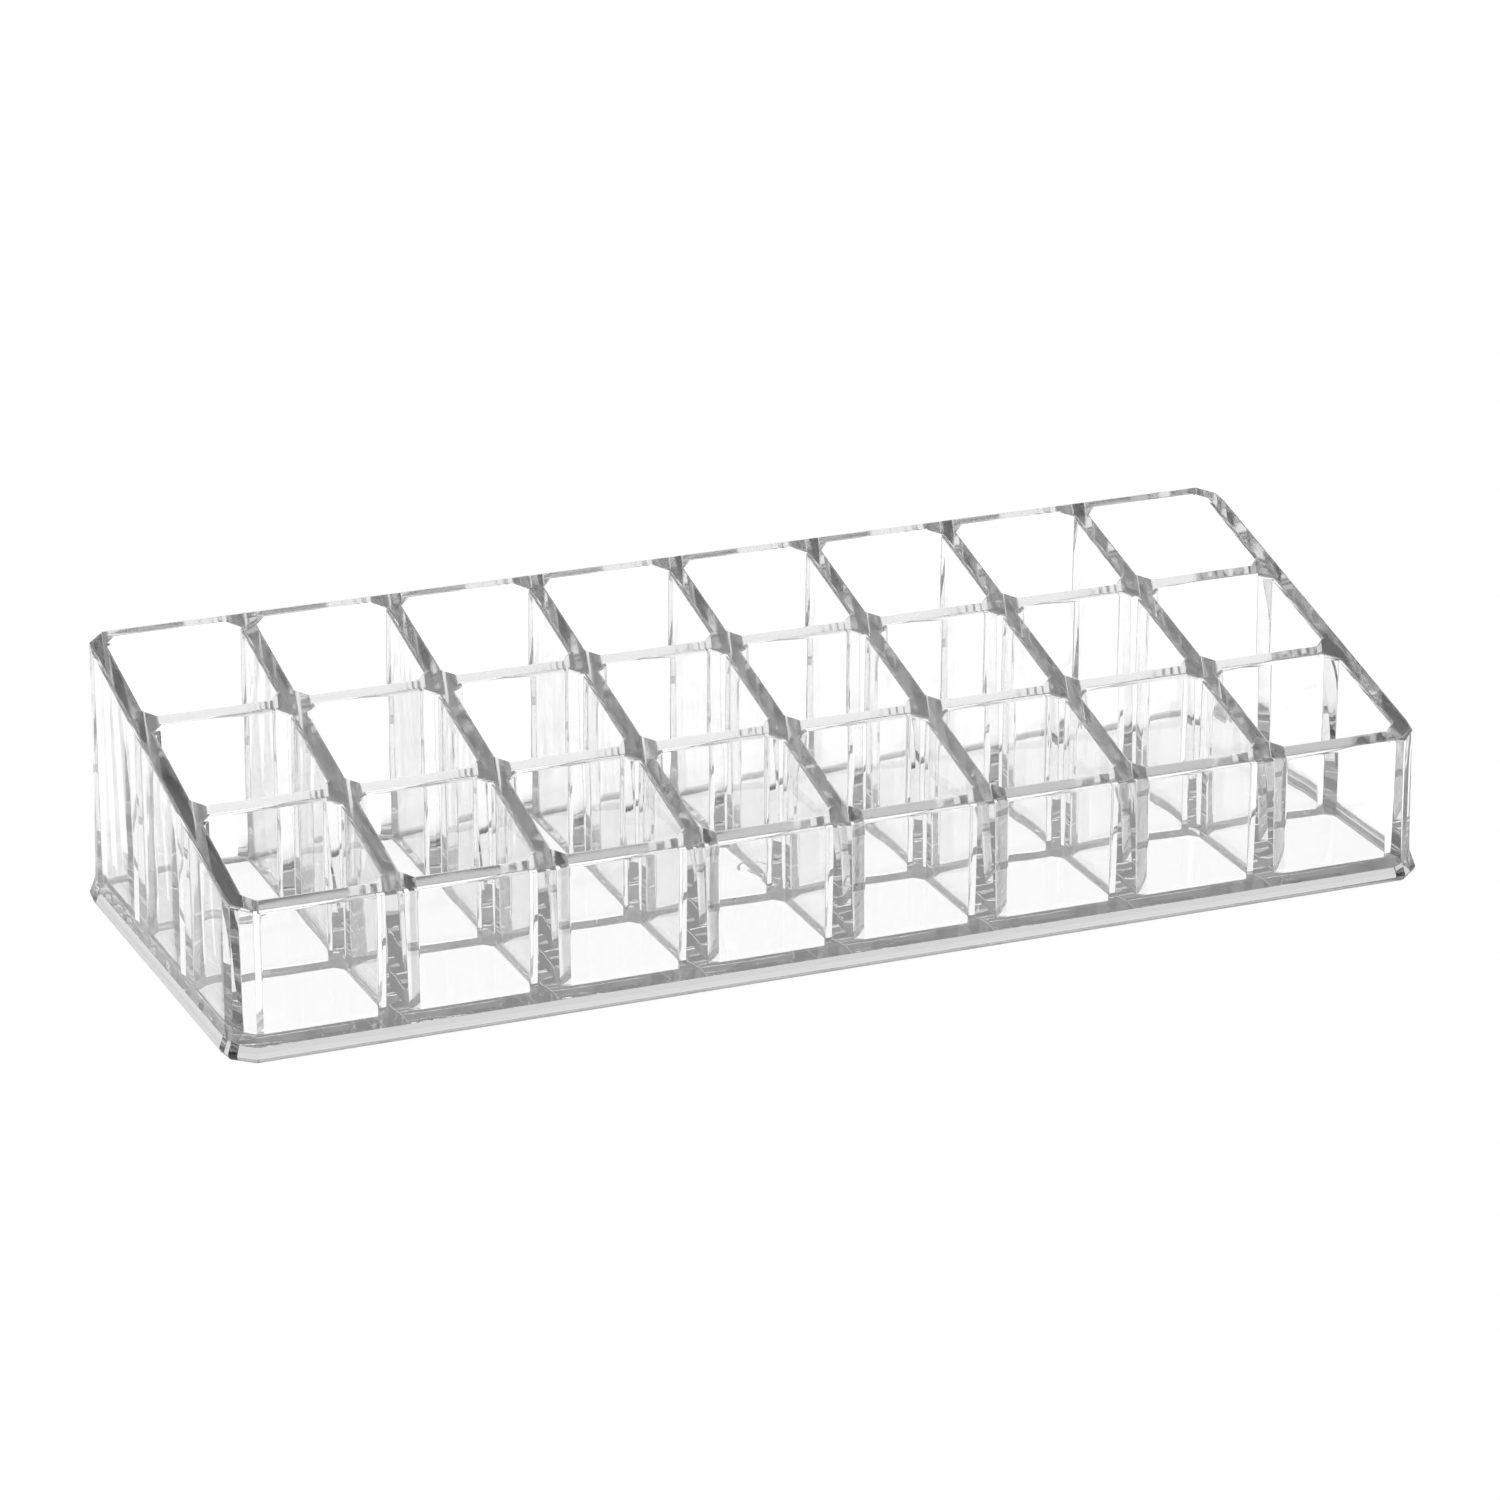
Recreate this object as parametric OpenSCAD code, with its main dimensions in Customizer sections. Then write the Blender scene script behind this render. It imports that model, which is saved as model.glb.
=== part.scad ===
// Clear vanity organizer: 24 open compartments under a rim that slopes to the front.
// A moulded tray of compartments stands on a bevelled base frame and is bonded to it.
// Origin: middle of the underside. X runs along the rows, the low front faces -Y, Z is up.
// Lengths are in mm, angles in degrees.

/* [Compartments] */
// Compartments side by side in a row
columns = 8; // [2:1:10]
// Rows, from the front to the back
rows = 3; // [1:1:5]
// Middle of one cross divider to the middle of the next
column_pitch = 27.7; // [22:0.1:36]
// Middle of one long divider to the middle of the next
row_pitch = 27.3; // [22:0.1:36]
// Flat on top of a divider, between its rounded edges
divider_land = 2.1; // [1:0.1:4]
// Leg of the chamfer that fills each corner of a compartment's mouth
mouth_corner = 2.4; // [0.5:0.1:6]
// Lean of a compartment's walls, narrower at the floor
cell_draft = 1; // [0:0.25:2]
// Thickness of the tray's floor under the compartments
floor_thickness = 1.35; // [0.8:0.05:3]

/* [Outer walls] */
// Flat on top of an outer wall, between its rounded edges
wall_land = 2; // [1:0.1:4]
// How much wider the end compartments are than the rest
end_ease = 0.5; // [0:0.1:3]
// Height of the front rim above the ground
front_height = 27.6; // [20:0.1:40]
// Height of the back rim above the ground
back_height = 50.6; // [40:0.1:70]
// Lean of the outer walls, narrower at the rim
wall_draft = 1.25; // [0:0.25:3]
// Radius of the rim's rounded edges, inside and out
edge_round = 0.6; // [0.2:0.1:1]
// Facets in a rounded edge
edge_steps = 3; // [1:1:6]

/* [Corners] */
// Distance of the corner facet from the side, along the front
corner_end_run = 4.1; // [2:0.1:8]
// Distance of the corner facet from the front, along the side
corner_side_run = 3; // [2:0.1:8]
// Depth of the small facet that eases the corner into the side
break_depth = 0.6; // [0.2:0.1:1.5]
// Length of the small facet, along the side
break_run = 3.8; // [1:0.1:6]

/* [Base frame] */
// Height of the frame, from the ground to the tray's underside
base_height = 2.35; // [2:0.05:5]
// Height of the upright edge under the bevel
base_edge = 1; // [0.4:0.1:1.8]
// How far the frame stands out from the walls' foot
base_overhang = 1.1; // [0.5:0.1:4]
// Thickness of the frame's wall, measured level
base_wall = 1.8; // [1.2:0.1:3]

/* [Hidden] */
clear_colour = [0.88, 0.92, 0.94, 0.45];
frame_colour = [0.78, 0.84, 0.88, 0.6];
// Cutters run this far past the faces that they open
cut_over = 1;

// Size of the rim between the outer edges of its flats, at the front rim's height
rim_length = columns * column_pitch - divider_land + 2 * (wall_land + end_ease);
rim_depth = rows * row_pitch - divider_land + 2 * (wall_land + end_ease);
wall_slope = tan(wall_draft);
cell_slope = tan(cell_draft);
floor_level = base_height + floor_thickness;
foot_spread = edge_round + wall_slope * (front_height - base_height);
foot_length = rim_length + 2 * foot_spread;
foot_depth = rim_depth + 2 * foot_spread;
rim_slope = (back_height - front_height) / rim_depth;

// Number of the last item in a list
function last(list) = len(list) - 1;

// Height of the sloping rim at a place from front to back
function rim_z(y) = front_height + rim_slope * (y + rim_depth / 2);

// Outward normal of the edge that leaves point i of an anticlockwise outline
function edge_normal(pts, i) =
    let (run = pts[(i + 1) % len(pts)] - pts[i % len(pts)])
    [run.y, -run.x] / norm(run);

// Way in which point i moves as every edge moves inwards by 1
function mitre(pts, i) =
    let (before = edge_normal(pts, i + last(pts)), after = edge_normal(pts, i))
    -(before + after) / (1 + before * after);

// One corner of the outer outline, from its side to its end
function corner_points() = [
    [0, corner_side_run + break_run],
    [break_depth, corner_side_run],
    [corner_end_run, 0]];

// Outer outline of the walls' foot, anticlockwise from the front left
function foot_outline() =
    let (half = [foot_length, foot_depth] / 2, corner = corner_points())
    concat(
        [for (p = corner) [p.x - half.x, p.y - half.y]],
        [for (i = [last(corner) : -1 : 0]) [half.x - corner[i].x, corner[i].y - half.y]],
        [for (p = corner) [half.x - p.x, half.y - p.y]],
        [for (i = [last(corner) : -1 : 0]) [corner[i].x - half.x, half.y - corner[i].y]]);

// Edges of the mouths along one axis: [start, end] of place i out of n
function mouth_span(i, n, pitch) =
    let (middle = (i - (n - 1) / 2) * pitch, half = (pitch - divider_land) / 2)
    [middle - half - (i == 0 ? end_ease : 0), middle + half + (i == n - 1 ? end_ease : 0)];

// Chamfered outline of one compartment's mouth, anticlockwise
function mouth_outline(column, row) =
    let (x = mouth_span(column, columns, column_pitch),
         y = mouth_span(row, rows, row_pitch),
         leg = mouth_corner)
    [[x[0], y[0] + leg], [x[0] + leg, y[0]], [x[1] - leg, y[0]], [x[1], y[0] + leg],
     [x[1], y[1] - leg], [x[1] - leg, y[1]], [x[0] + leg, y[1]], [x[0], y[1] - leg]];

// An outline drawn in by a length and laid flat at height z
function flat_ring(pts, inset, z) = [
    for (i = [0 : last(pts)])
        let (p = pts[i] + inset * mitre(pts, i)) [p.x, p.y, z]];

// An outline drawn in and laid on the sloping rim, sunk below it by a depth
function rim_ring(pts, inset, depth) = [
    for (i = [0 : last(pts)])
        let (p = pts[i] + inset * mitre(pts, i)) [p.x, p.y, rim_z(p.y) - depth]];

// A leaning wall's outline where it meets the rim: the draft grows with height
function leaning_rim_ring(pts, inset, depth) = [
    for (i = [0 : last(pts)])
        let (rise = rim_z(pts[i].y) - depth - base_height,
             p = pts[i] + (inset + wall_slope * rise) * mitre(pts, i))
        [p.x, p.y, rim_z(p.y) - depth]];

// A compartment's outline at height z: the draft grows with depth under the rim
function leaning_floor_ring(pts, inset, z) = [
    for (i = [0 : last(pts)])
        let (fall = rim_z(pts[i].y) - z,
             p = pts[i] + (inset + cell_slope * fall) * mitre(pts, i))
        [p.x, p.y, z]];

// Solid through rings of equally many points, listed from the bottom up
module loft(rings) {
    n = len(rings[0]);
    top_start = last(rings) * n;
    sides = [
        for (k = [1 : last(rings)], i = [0 : n - 1])
            let (a = (k - 1) * n + i, b = (k - 1) * n + (i + 1) % n)
            [a, a + n, b + n, b]];
    bottom = [for (i = [0 : n - 1]) i];
    top = [for (i = [n - 1 : -1 : 0]) top_start + i];
    polyhedron(points = [for (ring = rings) each ring], faces = concat([bottom, top], sides));
}

// Turn of step k along a rounded edge, from the flat at 0 to the wall at 90
function edge_turn(k) = 90 * k / edge_steps;

// The block that the compartments are cut from
module wall_block() {
    foot = foot_outline();
    loft(concat(
        [flat_ring(foot, 0, base_height)],
        [for (k = [edge_steps : -1 : 0])
            leaning_rim_ring(foot,
                edge_round * (1 - sin(edge_turn(k))),
                edge_round * (1 - cos(edge_turn(k))))]));
}

// Space of one compartment, open above, down to the tray's floor
module compartment(column, row) {
    mouth = mouth_outline(column, row);
    loft(concat(
        [leaning_floor_ring(mouth, edge_round, floor_level)],
        [for (k = [edge_steps : -1 : 0])
            rim_ring(mouth,
                edge_round * sin(edge_turn(k)),
                edge_round * (1 - cos(edge_turn(k))))],
        [rim_ring(mouth, 0, -cut_over)]));
}

module compartment_tray() {
    color(clear_colour)
    difference() {
        wall_block();
        for (column = [0 : columns - 1], row = [0 : rows - 1])
            compartment(column, row);
    }
}

// Rings of the base frame's bevelled face, drawn in by a length
function bevel_rings(foot, inset) = [
    flat_ring(foot, inset - base_overhang, 0),
    flat_ring(foot, inset - base_overhang, base_edge),
    flat_ring(foot, inset, base_height)];

// Frame of even thickness under the tray's edge: its inner face follows the bevel
module base_frame() {
    foot = foot_outline();
    color(frame_colour)
    difference() {
        loft(bevel_rings(foot, 0));
        loft(concat(
            [flat_ring(foot, base_wall - base_overhang, -cut_over)],
            bevel_rings(foot, base_wall),
            [flat_ring(foot, base_wall, base_height + cut_over)]));
    }
}

compartment_tray();
base_frame();
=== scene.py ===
"""Clear vanity organizer: a moulded tray of compartments on a bevelled base frame.

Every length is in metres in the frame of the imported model: X along the rows, the low
front faces -Y, Z is up, and the origin is the middle of the underside.
"""

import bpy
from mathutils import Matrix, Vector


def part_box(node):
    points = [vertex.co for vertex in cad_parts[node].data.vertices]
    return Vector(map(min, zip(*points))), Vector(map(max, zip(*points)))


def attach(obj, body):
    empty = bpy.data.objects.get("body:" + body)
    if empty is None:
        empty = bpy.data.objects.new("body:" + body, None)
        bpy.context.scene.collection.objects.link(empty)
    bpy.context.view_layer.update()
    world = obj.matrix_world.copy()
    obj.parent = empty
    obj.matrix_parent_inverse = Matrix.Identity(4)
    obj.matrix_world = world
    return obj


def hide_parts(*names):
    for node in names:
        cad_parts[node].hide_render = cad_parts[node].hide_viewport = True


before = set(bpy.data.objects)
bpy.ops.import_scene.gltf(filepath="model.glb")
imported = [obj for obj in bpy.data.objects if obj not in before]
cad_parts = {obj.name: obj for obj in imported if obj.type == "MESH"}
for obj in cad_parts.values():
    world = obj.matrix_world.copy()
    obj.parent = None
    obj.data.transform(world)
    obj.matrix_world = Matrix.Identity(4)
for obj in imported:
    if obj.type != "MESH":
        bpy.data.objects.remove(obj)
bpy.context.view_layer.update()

import logging
import math
from dataclasses import dataclass, field
from enum import Enum, IntEnum
from typing import ClassVar

import bpy
import numpy as np
from mathutils import Matrix
from mathutils.geometry import tessellate_polygon

LOG = logging.getLogger("vanity_organizer")
MM = 0.001
BODY = "root"
TRAY_NODE = "compartment_tray"
BASE_NODE = "base_frame"


class Finish(IntEnum):
    """Numbers of a piece's finishes, in the order of its materials."""

    CLEAR = 0
    BOND = 1
    RIM = 2


class Outline:
    """A closed plan outline with rounded corners that is drawn in corner by corner.

    A sample lies on the straight line between two neighbouring roundings' centres,
    moved out by the radius along its own normal.
    """

    def __init__(self, corners: np.ndarray, radius: float, arc_steps: int, spacing: float) -> None:
        """Works out the samples of an outline.

        Args:
            corners: (n, 2) sharp corners, anticlockwise.
            radius: radius of the rounded corners.
            arc_steps: straight pieces in each rounded corner.
            spacing: longest step along a straight edge.
        """
        edges = np.roll(corners, -1, axis=0) - corners
        lengths = np.linalg.norm(edges, axis=1)
        after = np.column_stack([edges[:, 1], -edges[:, 0]]) / lengths[:, None]
        before = np.roll(after, 1, axis=0)
        self.corners = corners
        self.radius = radius
        self.mitres = -(before + after) / (1 + (before * after).sum(axis=1))[:, None]
        start = np.arctan2(before[:, 1], before[:, 0])
        turn = (np.arctan2(after[:, 1], after[:, 0]) - start) % (2 * math.pi)
        low, high, share, angle = [], [], [], []
        for i, length in enumerate(lengths):
            steps = max(2, math.ceil(length / spacing))
            arc = start[i] + turn[i] * np.linspace(0, 1, arc_steps + 1)
            run = np.arange(1, steps) / steps
            low.append(np.full(len(arc) + len(run), i))
            high.append(np.full(len(arc) + len(run), (i + 1) % len(lengths)))
            share.append(np.concatenate([np.zeros(len(arc)), run]))
            angle.append(np.concatenate([arc, np.full(len(run), arc[-1])]))
        self.low, self.high = np.concatenate(low), np.concatenate(high)
        self.share = np.concatenate(share)[:, None]
        angles = np.concatenate(angle)
        self.normals = np.column_stack([np.cos(angles), np.sin(angles)])

    def ring(self, inset: np.ndarray | float) -> np.ndarray:
        """Samples of the outline drawn in by a length.

        Args:
            inset: one length, or one for each corner.

        Returns:
            (k, 2) points: centres' mix at the sample's share, plus radius times normal.
        """
        depth = np.broadcast_to(inset, len(self.corners)) + self.radius
        centres = self.corners + depth[:, None] * self.mitres
        mix = centres[self.low] * (1 - self.share) + centres[self.high] * self.share
        return mix + self.radius * self.normals


def lay(plan: np.ndarray, height: np.ndarray | float) -> np.ndarray:
    """Plan points (k, 2) laid at one height or at a height each, as (k, 3)."""
    return np.column_stack([plan, np.broadcast_to(height, len(plan))])


def quarter(steps: int) -> np.ndarray:
    """Angles of a quarter turn, from 90 degrees down to 0."""
    return np.linspace(math.pi / 2, 0, steps + 1)


class Skin:
    """A closed surface gathered from grids of points and flat fills."""

    WELD: ClassVar[float] = 1e-7
    SHARP: ClassVar[float] = math.radians(26)

    def __init__(self) -> None:
        """Starts with nothing."""
        self.points: list[np.ndarray] = []
        self.faces: list[np.ndarray] = []
        self.finishes: list[np.ndarray] = []
        self.count = 0

    def _keep(self, points: np.ndarray, faces: np.ndarray, finish: Finish = Finish.CLEAR) -> None:
        """Stores points and the faces that number them from 0, with their finish."""
        self.points.append(points)
        self.faces.append(faces + self.count)
        self.finishes.append(np.full(len(faces), finish))
        self.count += len(points)

    def add_grid(self, grid: np.ndarray, inward: bool = False) -> None:
        """Adds quads over a grid whose columns close round.

        Args:
            grid: (rows, columns, 3) points; rows run up an anticlockwise outline.
            inward: True turns the faces towards the outline's inside.
        """
        rows, columns = grid.shape[:2]
        index = np.arange(rows * columns).reshape(rows, columns)
        low, high = index[:-1], index[1:]
        quads = np.stack([low, np.roll(low, -1, 1), np.roll(high, -1, 1), high], axis=-1)
        quads = quads.reshape(-1, 4)
        self._keep(grid.reshape(-1, 3), quads[:, ::-1] if inward else quads)

    def add_fill(
        self, loops: list[np.ndarray], upward: bool, finish: Finish = Finish.CLEAR
    ) -> None:
        """Fills a flat region between an outer loop and the holes in it.

        Args:
            loops: (k, 3) loops, the outer one first.
            upward: True turns the faces up, False down.
            finish: the region's finish.
        """
        plans = [[(x, y, 0.0) for x, y in (loop[:, :2] / MM).tolist()] for loop in loops]
        triangles = np.array(tessellate_polygon(plans), dtype=int)
        points = np.concatenate(loops)
        a, b, c = (points[triangles[:, i], :2] for i in range(3))
        area = (b - a)[:, 0] * (c - a)[:, 1] - (b - a)[:, 1] * (c - a)[:, 0]
        flip = (area.sum() < 0) == upward
        self._keep(points, triangles[:, ::-1] if flip else triangles, finish)

    def add_band(self, outer: np.ndarray, inner: np.ndarray, upward: bool, finish: Finish) -> None:
        """Adds a flat band between two rings with equally many samples.

        Args:
            outer: (k, 3) anticlockwise ring.
            inner: (k, 3) ring inside it.
            upward: True turns the faces up, False down.
            finish: the band's finish.
        """
        index = np.arange(len(outer))
        ahead = np.roll(index, -1)
        quads = np.column_stack([index, ahead, ahead + len(outer), index + len(outer)])
        points = np.concatenate([outer, inner])
        self._keep(points, quads if upward else quads[:, ::-1], finish)

    def build(self, name: str, materials: list[bpy.types.Material]) -> bpy.types.Object:
        """Makes the object, with doubles merged and its corners' shading weighted by area.

        Args:
            name: name of the piece.
            materials: its finishes, in the order of their numbers.

        Returns:
            The new object, at the origin.
        """
        points = np.concatenate(self.points)
        keys = np.round(points / self.WELD).astype(np.int64)
        _, first, merged = np.unique(keys, axis=0, return_index=True, return_inverse=True)
        merged = merged.reshape(-1)
        faces = [row for block in self.faces for row in merged[block].tolist()]
        mesh = bpy.data.meshes.new(name)
        mesh.from_pydata(points[first].tolist(), [], faces)
        mesh.validate()
        mesh.shade_smooth()
        mesh.set_sharp_from_angle(angle=self.SHARP)
        for material in materials:
            mesh.materials.append(material)
        mesh.polygons.foreach_set("material_index", np.concatenate(self.finishes).astype(np.int32))
        piece = bpy.data.objects.new(name, mesh)
        bpy.context.scene.collection.objects.link(piece)
        shading = piece.modifiers.new("even_shading", "WEIGHTED_NORMAL")
        shading.keep_sharp = True
        LOG.info("%s: %d points, %d faces", name, len(mesh.vertices), len(mesh.polygons))
        return piece


def linear(colour: str) -> tuple[float, float, float, float]:
    """An sRGB hex colour as linear RGBA."""
    values = np.array([int(colour[i:i + 2], 16) for i in (1, 3, 5)]) / 255
    low, high = values / 12.92, ((values + 0.055) / 1.055) ** 2.4
    return (*np.where(values <= 0.04045, low, high).tolist(), 1.0)


def add_node(
    tree: bpy.types.NodeTree, kind: str, inputs: dict | None = None, **settings
) -> bpy.types.Node:
    """Adds a node with its settings and links.

    Args:
        tree: node tree that gets the node.
        kind: the node's type name.
        inputs: value, or output socket to link from, for each input's name or number.
        **settings: values of the node's own properties.

    Returns:
        The new node.
    """
    node = tree.nodes.new(kind)
    for key, value in settings.items():
        setattr(node, key, value)
    for key, value in (inputs or {}).items():
        if isinstance(value, bpy.types.NodeSocket):
            tree.links.new(value, node.inputs[key])
        else:
            node.inputs[key].default_value = value
    return node


@dataclass(frozen=True)
class ClearPolystyrene:
    """Crystal polystyrene, injection moulded in a polished mould.

    The eye gets a hard, bright glass-like gloss, with faint upright ripples where the
    melt ran up the walls and a slight haze in the long paths inside the material.
    """

    name: str
    tint: str = "#ffffff"
    ior: float = 1.59
    roughness: float = 0.0
    ripple_across: float = 2.6 * MM
    ripple_along: float = 40 * MM
    ripple_depth: float = 0.004 * MM
    swell_size: float = 9 * MM
    swell_depth: float = 0.02 * MM
    dimming: float = 4.0

    def build(self) -> bpy.types.Material:
        """Makes the material."""
        material = bpy.data.materials.new(self.name)
        material.use_nodes = True
        tree = material.node_tree
        tree.nodes.clear()
        place = add_node(tree, "ShaderNodeTexCoord").outputs["Object"]
        stretch = add_node(tree, "ShaderNodeMapping", {
            "Vector": place,
            "Scale": (1 / self.ripple_across, 1 / self.ripple_across, 1 / self.ripple_along)})
        ripple = add_node(tree, "ShaderNodeTexNoise", {
            "Vector": stretch.outputs["Vector"], "Scale": 1.0, "Detail": 2.0})
        swell = add_node(tree, "ShaderNodeTexNoise", {
            "Vector": place, "Scale": 1 / self.swell_size, "Detail": 1.0})
        ripple_bump = add_node(tree, "ShaderNodeBump", {
            "Height": ripple.outputs["Fac"], "Strength": 1.0, "Distance": self.ripple_depth})
        swell_bump = add_node(tree, "ShaderNodeBump", {
            "Height": swell.outputs["Fac"], "Strength": 1.0, "Distance": self.swell_depth,
            "Normal": ripple_bump.outputs["Normal"]})
        surface = add_node(tree, "ShaderNodeBsdfPrincipled", {
            "Base Color": linear(self.tint), "Roughness": self.roughness, "IOR": self.ior,
            "Transmission Weight": 1.0, "Normal": swell_bump.outputs["Normal"]})
        inside = add_node(tree, "ShaderNodeVolumeAbsorption", {
            "Color": (0.0, 0.0, 0.0, 1.0), "Density": self.dimming})
        add_node(tree, "ShaderNodeOutputMaterial", {
            "Surface": surface.outputs["BSDF"], "Volume": inside.outputs["Volume"]})
        return material


@dataclass(frozen=True)
class SolventBond:
    """The seam where the tray and the frame are welded with solvent.

    The eye gets no line, only a faint grey: the plastic is one across the seam, so
    light goes straight through it with a little loss.
    """

    name: str
    clearness: str = "#efefef"

    def build(self) -> bpy.types.Material:
        """Makes the material."""
        material = bpy.data.materials.new(self.name)
        material.use_nodes = True
        tree = material.node_tree
        tree.nodes.clear()
        clear = add_node(tree, "ShaderNodeBsdfTransparent", {"Color": linear(self.clearness)})
        add_node(tree, "ShaderNodeOutputMaterial", {"Surface": clear.outputs["BSDF"]})
        return material


@dataclass
class CompartmentTray:
    """The moulded tray: drafted walls and dividers, chamfered pillars and a sloping rim.

    Its upper bevel and its underside lie where the photograph has them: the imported
    solids end the bevel at the seam, and have the seam 0.35 mm higher.
    """

    GATE_MIDDLE_SHARE: ClassVar[float] = 0.05

    columns: int = 8
    rows: int = 3
    column_pitch: float = 27.7 * MM
    row_pitch: float = 27.3 * MM
    divider_land: float = 2.1 * MM
    mouth_corner: float = 2.4 * MM
    cell_draft: float = math.radians(1)
    floor_thickness: float = 1.7 * MM
    wall_land: float = 2.3 * MM
    end_ease: float = 0.5 * MM
    front_height: float = 27.6 * MM
    back_height: float = 50.6 * MM
    wall_draft: float = math.radians(0.6)
    back_draft: float = math.radians(1.4)
    edge_round: float = 0.6 * MM
    corner_run: tuple[float, float] = (3.8 * MM, 3.0 * MM)
    corner_break: tuple[float, float] = (0.4 * MM, 3.0 * MM)
    underside: float = 2.0 * MM
    bevel_top: float = 4.5 * MM
    bevel_run: float = 1.1 / 3.1
    frame_wall: float = 3.0 * MM
    outer_corner_radius: float = 0.3 * MM
    cell_corner_radius: float = 0.35 * MM
    floor_fillet: float = 0.35 * MM
    spacing: float = 1.7 * MM
    corner_steps: int = 3
    fillet_steps: int = 4
    wall_rows: int = 14
    round_steps: int = 6
    sink_depth: float = 0.12 * MM
    sink_width: float = 3.2 * MM
    gate_radii: tuple[float, float] = (4.3 * MM, 2.75 * MM)
    gate_depth: float = 0.25 * MM
    gate_ease: float = 0.43 * MM
    gate_rings: int = 8
    gate_sides: int = 64
    foot: np.ndarray = field(init=False)

    def __post_init__(self) -> None:
        """Takes the outline of the walls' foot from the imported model."""
        low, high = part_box(TRAY_NODE)
        half = np.array([high.x - low.x, high.y - low.y]) / 2
        run, ease = self.corner_run, self.corner_break
        corner = np.array([[0, run[1] + ease[1]], [ease[0], run[1]], [run[0], 0]])
        back = corner[::-1]
        self.foot = np.concatenate([
            corner - half,
            np.column_stack([half[0] - back[:, 0], back[:, 1] - half[1]]),
            half - corner,
            np.column_stack([back[:, 0] - half[0], half[1] - back[:, 1]])])

    def foot_outline(self) -> Outline:
        """The outline of the walls' foot, with its corners rounded."""
        return Outline(self.foot, self.outer_corner_radius, self.corner_steps, self.spacing)

    def spread(self, height: float) -> float:
        """How far the bevel's face stands out from the walls' foot at a height."""
        return self.bevel_run * (self.bevel_top - height)

    @property
    def floor_level(self) -> float:
        """Height of the compartments' floors."""
        return self.underside + self.floor_thickness

    @property
    def rim_slope(self) -> float:
        """Rise of the rim for each unit from front to back."""
        grid = self.rows * self.row_pitch - self.divider_land
        depth = grid + 2 * (self.wall_land + self.end_ease)
        return (self.back_height - self.front_height) / depth

    def rim_height(self, y: np.ndarray) -> np.ndarray:
        """Height of the sloping rim: the mean height plus the slope times y."""
        return (self.front_height + self.back_height) / 2 + self.rim_slope * y

    def mouth(self, column: int, row: int) -> np.ndarray:
        """Chamfered corners of a compartment's mouth, anticlockwise.

        Args:
            column: place from the left, from 0.
            row: place from the front, from 0.

        Returns:
            (8, 2) corners: pitch times place, less half a divider on each side.
        """
        def span(place: int, number: int, pitch: float) -> tuple[float, float]:
            """Start and end of a mouth along one axis."""
            middle, half = (place - (number - 1) / 2) * pitch, (pitch - self.divider_land) / 2
            start = middle - half - (self.end_ease if place == 0 else 0)
            return start, middle + half + (self.end_ease if place == number - 1 else 0)

        x0, x1 = span(column, self.columns, self.column_pitch)
        y0, y1 = span(row, self.rows, self.row_pitch)
        leg = self.mouth_corner
        return np.array([
            [x0, y0 + leg], [x0 + leg, y0], [x1 - leg, y0], [x1, y0 + leg],
            [x1, y1 - leg], [x1 - leg, y1], [x0 + leg, y1], [x0, y1 - leg]])

    def _rows_between(self, low: np.ndarray, high: np.ndarray, sink: np.ndarray) -> np.ndarray:
        """Rows of a wall, from its foot to its rounded edge.

        A point is the mix of the two rings at its share of the height, moved by the
        sink, which grows as 1 minus the fourth power of the distance from mid-height.

        Args:
            low: (k, 3) ring at the foot.
            high: (k, 3) ring under the rounded edge.
            sink: (k, 2) plan move of each sample at mid-height.

        Returns:
            (wall_rows + 1, k, 3) points, first and last row unmoved.
        """
        share = np.linspace(0, 1, self.wall_rows + 1)[:, None, None]
        rows = low * (1 - share) + high * share
        rows[..., :2] += (1 - (2 * share - 1) ** 4) * sink
        return rows

    def _pillar_sink(self, plan: np.ndarray, normals: np.ndarray) -> np.ndarray:
        """Sink marks where the thick pillars shrink: a bell curve round each crossing.

        Args:
            plan: (k, 2) samples.
            normals: (k, 2) directions into the material.

        Returns:
            (k, 2) moves: depth times exp of minus the squared distance over the width.
        """
        pitch = np.array([self.column_pitch, self.row_pitch])
        offset = np.array([self.columns, self.rows]) / 2 * pitch
        nearest = np.round((plan + offset) / pitch) * pitch - offset
        distance = np.linalg.norm(plan - nearest, axis=1)
        bell = np.exp(-(distance / self.sink_width) ** 2)
        return self.sink_depth * bell[:, None] * normals

    def _wall_sink(self, plan: np.ndarray, normals: np.ndarray) -> np.ndarray:
        """Sink marks on the outside, opposite each divider: a bell curve along the wall."""
        pitch = np.array([self.column_pitch, self.row_pitch])
        offset = np.array([self.columns, self.rows]) / 2 * pitch
        gap = plan - (np.round((plan + offset) / pitch) * pitch - offset)
        along = np.where(np.abs(normals[:, 0]) > np.abs(normals[:, 1]), gap[:, 1], gap[:, 0])
        bell = np.exp(-(along / self.sink_width) ** 2)
        return -self.sink_depth * bell[:, None] * normals

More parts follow.
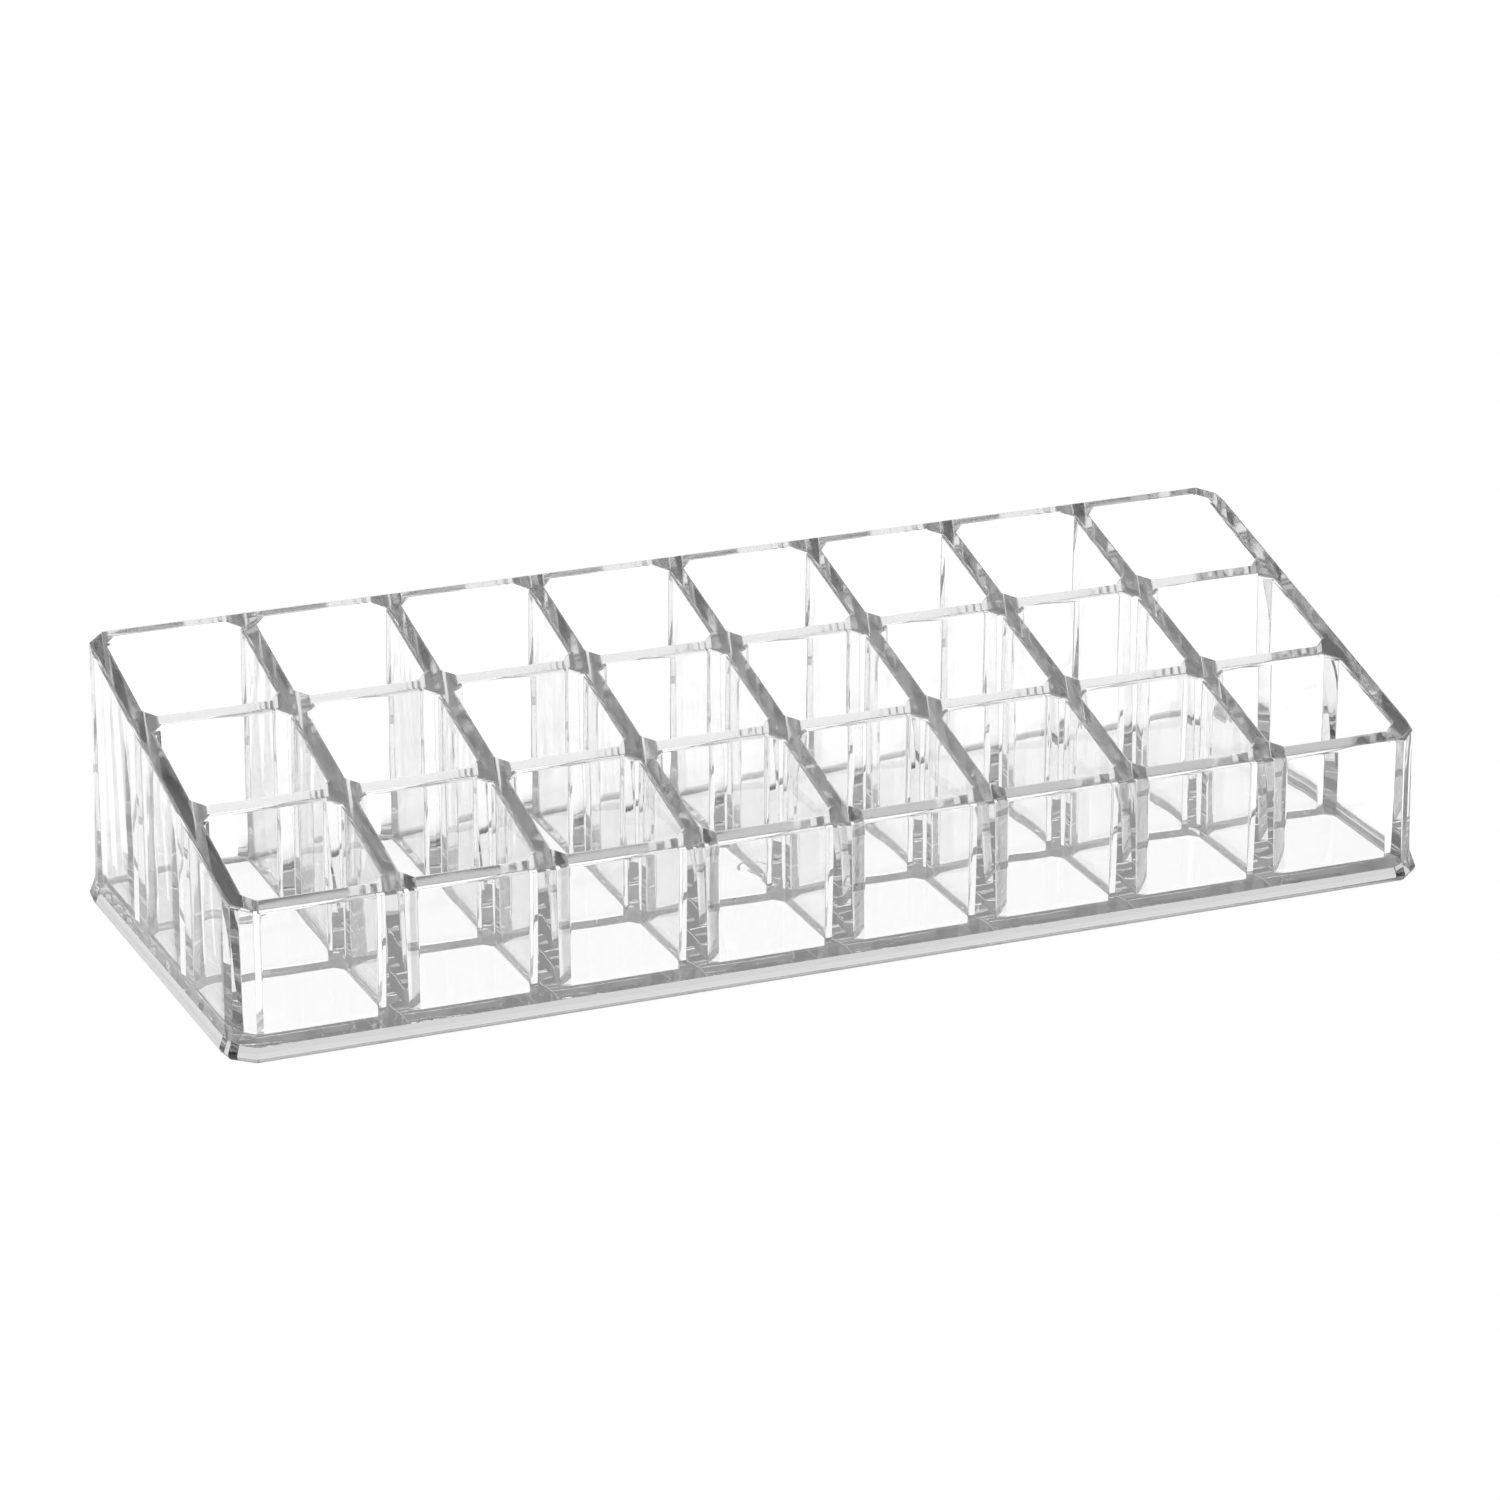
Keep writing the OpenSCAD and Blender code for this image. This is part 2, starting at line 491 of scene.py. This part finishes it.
    def _outside(self) -> np.ndarray:
        """Grid of the outer wall, from the seam up the bevel and over the rim's rounding."""
        outline = self.foot_outline()
        slope = math.tan(self.wall_draft)
        back = np.where(outline.corners[:, 1] > 0, math.tan(self.back_draft) - slope, 0)
        seam = lay(outline.ring(-self.spread(self.underside)), self.underside)
        foot = lay(outline.ring(0.0), self.bevel_top)
        rim = []
        for turn in quarter(self.round_steps):
            drop = self.edge_round * (1 - math.cos(turn))
            rise = self.rim_height(self.foot[:, 1]) - drop - self.bevel_top
            plan = outline.ring(self.edge_round * (1 - math.sin(turn)) + slope * rise)
            shift, share = back * rise, outline.share[:, 0]
            mix = shift[outline.low] * (1 - share) + shift[outline.high] * share
            plan = plan - np.column_stack([np.zeros(len(plan)), mix])
            rim.append(lay(plan, self.rim_height(plan[:, 1]) - drop))
        wall = self._rows_between(foot, rim[0], self._wall_sink(foot[:, :2], outline.normals))
        return np.concatenate([seam[None], wall, np.array(rim[1:])])

    def _compartment(self, column: int, row: int) -> np.ndarray:
        """Grid of one compartment's wall, from its floor over the rim's rounding."""
        outline = Outline(
            self.mouth(column, row), self.cell_corner_radius, self.corner_steps, self.spacing)
        fall = self.rim_height(outline.corners[:, 1]) - self.floor_level
        foot = self.edge_round + math.tan(self.cell_draft) * fall
        rows = []
        for turn in quarter(self.fillet_steps):
            rows.append(lay(outline.ring(foot + self.floor_fillet * (1 - math.cos(turn))),
                            self.floor_level + self.floor_fillet * (1 - math.sin(turn))))
        rim = []
        for turn in quarter(self.round_steps):
            plan = outline.ring(self.edge_round * math.sin(turn))
            drop = self.edge_round * (1 - math.cos(turn))
            rim.append(lay(plan, self.rim_height(plan[:, 1]) - drop))
        sink = self._pillar_sink(rows[-1][:, :2], outline.normals)
        wall = self._rows_between(rows[-1], rim[0], sink)
        return np.concatenate([np.array(rows[:-1]), wall, np.array(rim[1:])])

    def _gate(self) -> np.ndarray:
        """Grid of the round gate mark in the middle of the underside.

        Its depth is full between the two radii and half inside the smaller one. Each
        step rises evenly over the mark's ease.
        """
        outer, inner = self.gate_radii
        middle = inner * self.GATE_MIDDLE_SHARE
        radii = np.concatenate([np.linspace(outer, inner, self.gate_rings),
                                np.linspace(inner, middle, self.gate_rings)[1:]])
        steps = [np.clip((edge - radii) / self.gate_ease, 0, 1) for edge in (outer, inner)]
        depth = self.gate_depth * (steps[0] - steps[1] / 2)
        angles = np.linspace(0, 2 * math.pi, self.gate_sides, endpoint=False)
        grid = np.zeros((len(radii), len(angles), 3))
        grid[..., 0] = radii[:, None] * np.cos(angles)
        grid[..., 1] = radii[:, None] * np.sin(angles)
        grid[..., 2] = self.underside + depth[:, None]
        return grid

    def build(self, materials: list[bpy.types.Material]) -> bpy.types.Object:
        """Makes the tray as one closed skin and lets it stand for its CAD node.

        Args:
            materials: the clear finish, the bonded seam's and the rim's.

        Returns:
            The tray.
        """
        skin = Skin()
        outside = self._outside()
        cells = [self._compartment(c, r) for r in range(self.rows) for c in range(self.columns)]
        skin.add_grid(outside)
        for cell in cells:
            skin.add_grid(cell, inward=True)
            skin.add_fill([cell[0]], upward=True)
        skin.add_fill([outside[-1]] + [cell[-1] for cell in cells], upward=True, finish=Finish.RIM)
        inset = self.frame_wall - self.spread(self.underside)
        seam = lay(self.foot_outline().ring(inset), self.underside)
        skin.add_band(outside[0], seam, upward=False, finish=Finish.BOND)
        gate = self._gate()
        skin.add_grid(gate, inward=True)
        skin.add_fill([seam, gate[0]], upward=False)
        skin.add_fill([gate[-1]], upward=False)
        tray = skin.build("clear_tray", materials)
        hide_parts(TRAY_NODE)
        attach(tray, BODY)
        return tray


@dataclass
class BaseFrame:
    """The frame under the tray's edge, with a rounded lower edge and a bevelled face."""

    tray: CompartmentTray
    edge_round: float = 1.4 * MM
    round_steps: int = 8
    bond_gap: float = 0.01 * MM
    height: float = field(init=False)

    def __post_init__(self) -> None:
        """Takes the height from the tray's underside, less the bond's gap."""
        self.height = self.tray.underside - self.bond_gap

    def _section(self) -> np.ndarray:
        """Section as (inset, height), from the inner face's top round to the bevel's top.

        The lower edge is a quarter circle: inset and height grow with 1 minus the
        sine and 1 minus the cosine of the turn. The inner face is parallel to the bevel.
        """
        wall, spread = self.tray.frame_wall, self.tray.spread
        turns = quarter(self.round_steps)[::-1]
        edge = np.column_stack([self.edge_round * (1 - np.sin(turns)) - spread(self.edge_round),
                                self.edge_round * (1 - np.cos(turns))])
        inside = np.array([[wall - spread(z), z] for z in (self.height, 0.0)])
        return np.concatenate([inside, edge, [[-spread(self.height), self.height]]])

    def build(self, materials: list[bpy.types.Material]) -> bpy.types.Object:
        """Carries the section round the foot's outline and closes it with the bonded seam.

        Args:
            materials: the frame's clear finish, tinted grey and dimmed as painted shade, and the
                bonded seam's.

        Returns:
            The base frame.
        """
        path = self.tray.foot_outline()
        grid = np.array([lay(path.ring(inset), height) for inset, height in self._section()])
        skin = Skin()
        skin.add_grid(grid)
        skin.add_band(grid[-1], grid[0], upward=True, finish=Finish.BOND)
        base = skin.build("clear_base_frame", materials)
        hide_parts(BASE_NODE)
        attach(base, BODY)
        return base


class Backdrop(Enum):
    """Which rays see the white of the backdrop."""

    CAMERA = "Is Camera Ray"
    GLOSSY = "Is Glossy Ray"
    TRANSMISSION = "Is Transmission Ray"


@dataclass
class Studio:
    """White table, a soft grey surround, and the camera.

    The levels are the surround's brightness at places from the front, at -1, to the
    back, at 1. The clear plastic shows them along its longest paths. Light turns many
    times inside the rims before it leaves them, so it is given many bounces.
    """

    floor_size: float = 12.0
    floor_drop: float = 0.1 * MM
    floor_colour: str = "#f2f2f2"
    shadow_share: float = 0.1
    open_level: float = 1.08
    # Painted light: the table seen through the clear plastic glows above white, in place of the
    # reflections of bright surroundings.
    painted_glow_through_plastic: float = 1.28
    levels: tuple[tuple[float, float], ...] = ((-1.0, 0.46), (-0.3, 0.3), (0.6, 0.36), (1.0, 0.36))
    azimuth: float = math.radians(-22.402)
    elevation: float = math.radians(20.137)
    roll: float = math.radians(-0.171)
    distance: float = 1160.108 * MM
    target: tuple[float, float, float] = (26.506 * MM, 66.826 * MM, 0.0)
    focal_length: float = 143.49
    sensor: float = 36.0
    nearest: float = 10 * MM
    bounces: int = 120
    glossy_bounces: int = 96

    def build_floor(self) -> bpy.types.Object:
        """Makes the pale table, white to the camera and brighter than white to the clear plastic:
        a painted glow in place of the light that bright surroundings would add.
        """
        half = self.floor_size / 2
        mesh = bpy.data.meshes.new("table")
        corners = [(-half, -half), (half, -half), (half, half), (-half, half)]
        mesh.from_pydata([(x, y, -self.floor_drop) for x, y in corners], [], [(0, 1, 2, 3)])
        material = bpy.data.materials.new("white_table")
        material.use_nodes = True
        tree = material.node_tree
        tree.nodes.clear()
        path = add_node(tree, "ShaderNodeLightPath")
        seen = path.outputs[Backdrop.CAMERA.value]
        for other in (Backdrop.GLOSSY, Backdrop.TRANSMISSION):
            seen = add_node(tree, "ShaderNodeMath", {0: seen, 1: path.outputs[other.value]},
                            operation="MAXIMUM").outputs[0]
        white = add_node(tree, "ShaderNodeMath", {0: seen, 1: 1 - self.shadow_share},
                         operation="MULTIPLY").outputs[0]
        matt = add_node(tree, "ShaderNodeBsdfDiffuse", {"Color": linear(self.floor_colour)})
        # Transmission rays see the table at the painted glow level, above white.
        level = add_node(tree, "ShaderNodeMapRange", {
            "Value": path.outputs[Backdrop.TRANSMISSION.value],
            "To Min": self.open_level, "To Max": self.painted_glow_through_plastic})
        glow = add_node(tree, "ShaderNodeEmission", {
            "Color": (1, 1, 1, 1), "Strength": level.outputs["Result"]})
        mix = add_node(tree, "ShaderNodeMixShader", {
            "Fac": white, 1: matt.outputs["BSDF"], 2: glow.outputs["Emission"]})
        add_node(tree, "ShaderNodeOutputMaterial", {"Surface": mix.outputs["Shader"]})
        mesh.materials.append(material)
        floor = bpy.data.objects.new("table", mesh)
        bpy.context.scene.collection.objects.link(floor)
        return floor

    def build_world(self) -> None:
        """Lights the scene from a surround that is bright behind and dark in front."""
        world = bpy.data.worlds.new("studio")
        bpy.context.scene.world = world
        world.use_nodes = True
        tree = world.node_tree
        tree.nodes.clear()
        direction = add_node(tree, "ShaderNodeTexCoord").outputs["Generated"]
        parts = add_node(tree, "ShaderNodeSeparateXYZ", {"Vector": direction})
        towards_back = add_node(tree, "ShaderNodeMapRange", {
            "Value": parts.outputs["Y"], "From Min": -1.0, "From Max": 1.0})
        ramp = add_node(tree, "ShaderNodeValToRGB", {"Fac": towards_back.outputs["Result"]})
        elements = ramp.color_ramp.elements
        while len(elements) < len(self.levels):
            elements.new(1.0)
        for element, (place, level) in zip(elements, self.levels):
            element.position = (place + 1) / 2
            element.color = (level, level, level, 1.0)
        glow = add_node(tree, "ShaderNodeBackground", {"Color": ramp.outputs["Color"]})
        add_node(tree, "ShaderNodeOutputWorld", {"Surface": glow.outputs["Background"]})

    def build_camera(self) -> None:
        """Sets the camera on the photograph's line of sight."""
        back = np.array([math.sin(self.azimuth) * math.cos(self.elevation),
                         -math.cos(self.azimuth) * math.cos(self.elevation),
                         math.sin(self.elevation)])
        right = np.array([math.cos(self.azimuth), math.sin(self.azimuth), 0.0])
        up = np.cross(back, right)
        turned_right = right * math.cos(self.roll) + up * math.sin(self.roll)
        turned_up = up * math.cos(self.roll) - right * math.sin(self.roll)
        place = np.array(self.target) + back * self.distance
        matrix = np.eye(4)
        matrix[:3] = np.column_stack([turned_right, turned_up, back, place])
        data = bpy.data.cameras.new("camera")
        data.sensor_width = self.sensor
        data.lens = self.focal_length
        data.clip_start = self.nearest
        camera = bpy.data.objects.new("camera", data)
        camera.matrix_world = Matrix(matrix.tolist())
        bpy.context.scene.collection.objects.link(camera)
        bpy.context.scene.camera = camera

    def build(self) -> None:
        """Makes the floor, the surround and the camera, and sets the light paths."""
        self.build_camera()
        self.build_floor()
        self.build_world()
        scene = bpy.context.scene
        scene.view_settings.view_transform = "Standard"
        scene.cycles.max_bounces = self.bounces
        scene.cycles.transmission_bounces = self.bounces
        scene.cycles.glossy_bounces = self.glossy_bounces
        scene.cycles.blur_glossy = 0.0
        LOG.info("studio: table, surround and camera")


def main() -> None:
    """Builds the organizer, piece by piece, and the studio round it."""
    logging.basicConfig(level=logging.INFO, format="%(name)s: %(message)s")
    Studio().build()
    tray = CompartmentTray()
    walls, rim, frame_with_painted_shade, bond = (finish.build() for finish in (
        ClearPolystyrene("moulded_clear_polystyrene"),
        ClearPolystyrene("moulded_clear_polystyrene_rim", roughness=0.1),
        # The frame's grey tint and heavy dimming are painted shade: they darken the table seen
        # through the frame, where the tray shades it.
        ClearPolystyrene("moulded_clear_polystyrene_frame_painted_shade", tint="#d5d5d5", dimming=20.0),
        SolventBond("solvent_bond")))
    tray.build([walls, bond, rim])
    BaseFrame(tray).build([frame_with_painted_shade, bond])


if __name__ == "__main__":
    main()
